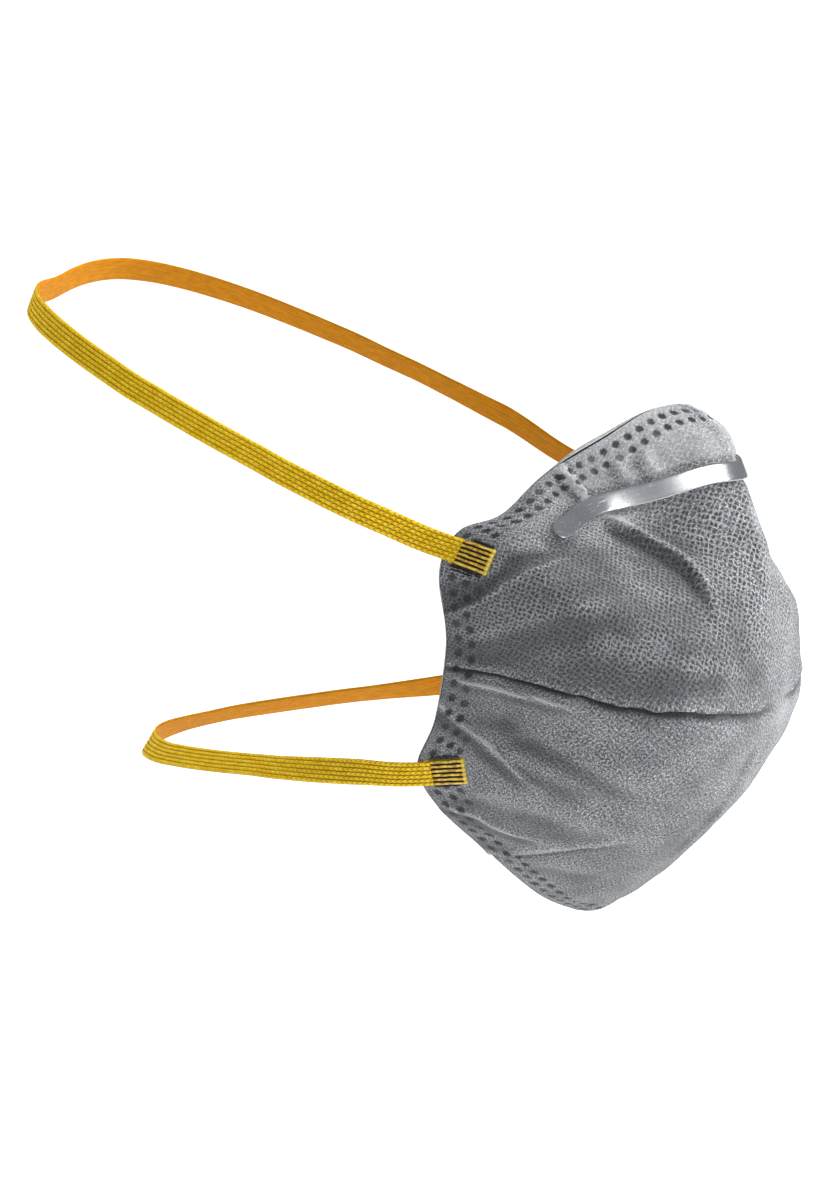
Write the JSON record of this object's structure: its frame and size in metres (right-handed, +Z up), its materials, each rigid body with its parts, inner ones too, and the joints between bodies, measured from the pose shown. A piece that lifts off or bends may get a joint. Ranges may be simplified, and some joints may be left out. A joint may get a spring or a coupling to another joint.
{
  "type": "disposable dust mask",
  "caption": "Moulded cup dust mask with a carbon web, welded edge band, aluminium nose clip, nose foam and two elastic head straps.",
  "frame": {"origin": "centre of the face opening, level with the cheek edges", "axes": "+Z up as worn, +Y towards the wearer's face, +X the wearer's left"},
  "size_m": [0.1268, 0.1858, 0.1483],
  "materials": {
    "cover_web": "matte",
    "carbon_web": "matte",
    "filter_web": "matte",
    "support_web": "matte",
    "liner_web": "matte",
    "clip_metal": "scratched",
    "adhesive": "matte",
    "foam": "matte",
    "elastic": "braided",
    "welded_elastic": "melted"
  },
  "bodies": {
    "cup": {"outer_cover": "cover_web", "carbon_layer": "carbon_web", "filter_layer": "filter_web", "support_shell": "support_web", "inner_liner": "liner_web", "nose_clip": "clip_metal", "clip_glue": "adhesive", "nose_foam": "foam", "foam_tape": "adhesive", "upper_strap_end_left": "welded_elastic", "upper_strap_end_right": "welded_elastic", "lower_strap_end_left": "welded_elastic", "lower_strap_end_right": "welded_elastic"},
    "upper_loop": {"upper_strap": "elastic"},
    "lower_loop": {"lower_strap": "elastic"}
  },
  "joints": [
    {"name": "upper_strap_swing", "type": "hinge", "parent": "cup", "child": "upper_loop", "pos_m": [0, -0.0048, 0.0275], "axis": [1, 0, 0], "range_deg": [-20, 105]},
    {"name": "lower_strap_swing", "type": "hinge", "parent": "cup", "child": "lower_loop", "pos_m": [0, 0.0005, -0.0251], "axis": [1, 0, 0], "range_deg": [-75, 15]}
  ]
}
